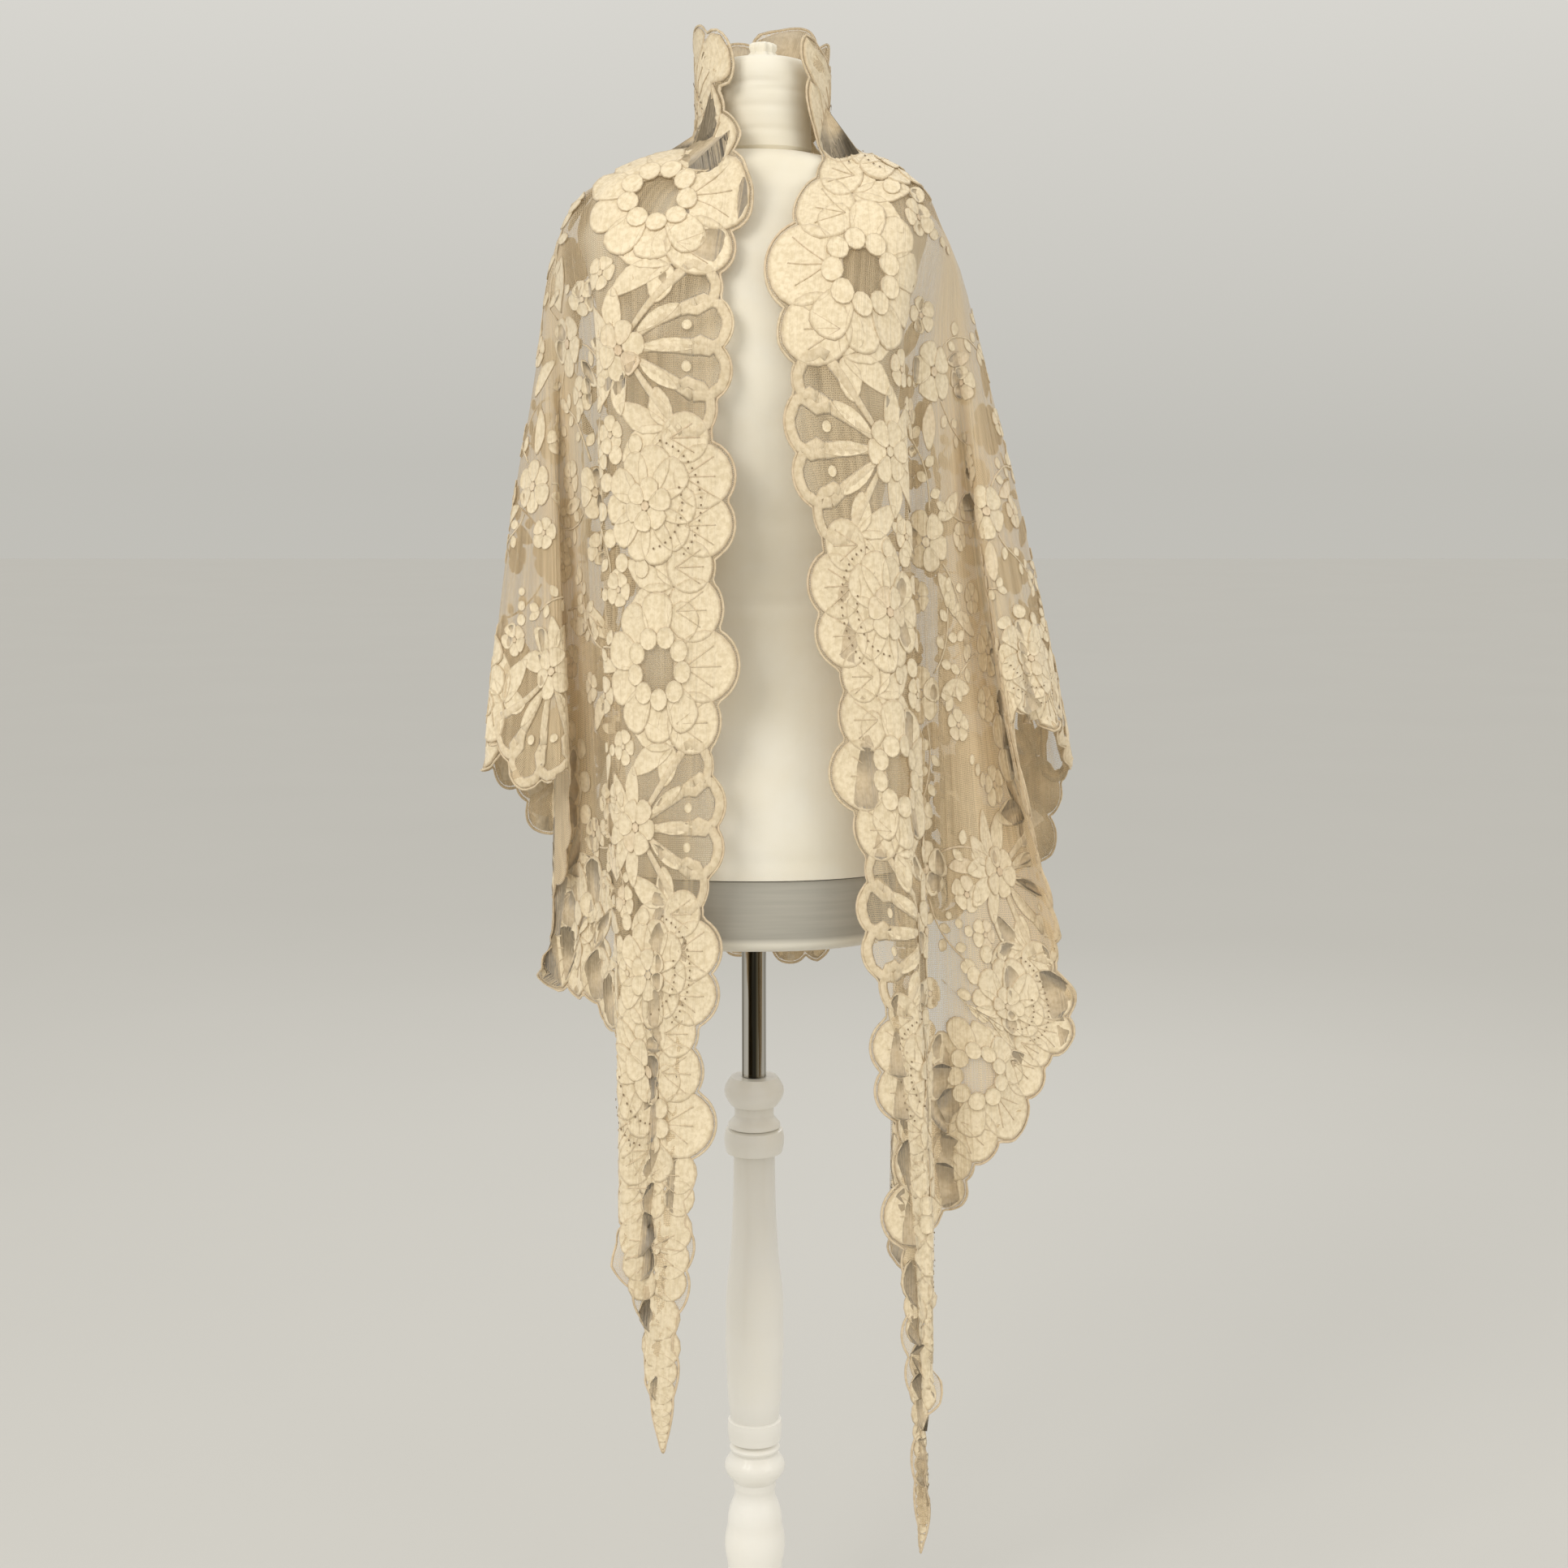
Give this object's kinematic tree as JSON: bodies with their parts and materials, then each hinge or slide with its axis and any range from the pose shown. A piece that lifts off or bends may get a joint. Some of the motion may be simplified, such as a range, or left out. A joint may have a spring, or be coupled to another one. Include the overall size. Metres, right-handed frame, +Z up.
{
  "type": "lace shawl on a dress form",
  "caption": "Triangular ivory lace shawl with scalloped borders, worn round the shoulders of a limbless dress form on a turned stand.",
  "frame": {"origin": "on the floor at the centre of the base, under the pole", "axes": "+Z up, the shawl's open front faces -Y, +X is the wearer's left"},
  "size_m": [0.5904, 0.3502, 1.72],
  "materials": {
    "lace": "ivory floral lace on fine net, matt",
    "jersey": "off-white knitted cover, matt",
    "band": "greyish white satin, soft shine",
    "chrome": "polished",
    "paint": "turned wood, white semi-gloss paint"
  },
  "bodies": {
    "root": {"shawl_collar": "lace", "shawl_front_left": "lace", "shawl_front_right": "lace", "shawl_tail_left": "lace", "shawl_tail_right": "lace", "shawl_side_left": "lace", "shawl_side_right": "lace", "shawl_back": "lace", "form_torso": "jersey", "form_neck": "jersey", "form_tuft": "jersey", "form_band": "band", "pole": "chrome", "column": "paint", "base": "paint"}
  },
  "joints": []
}
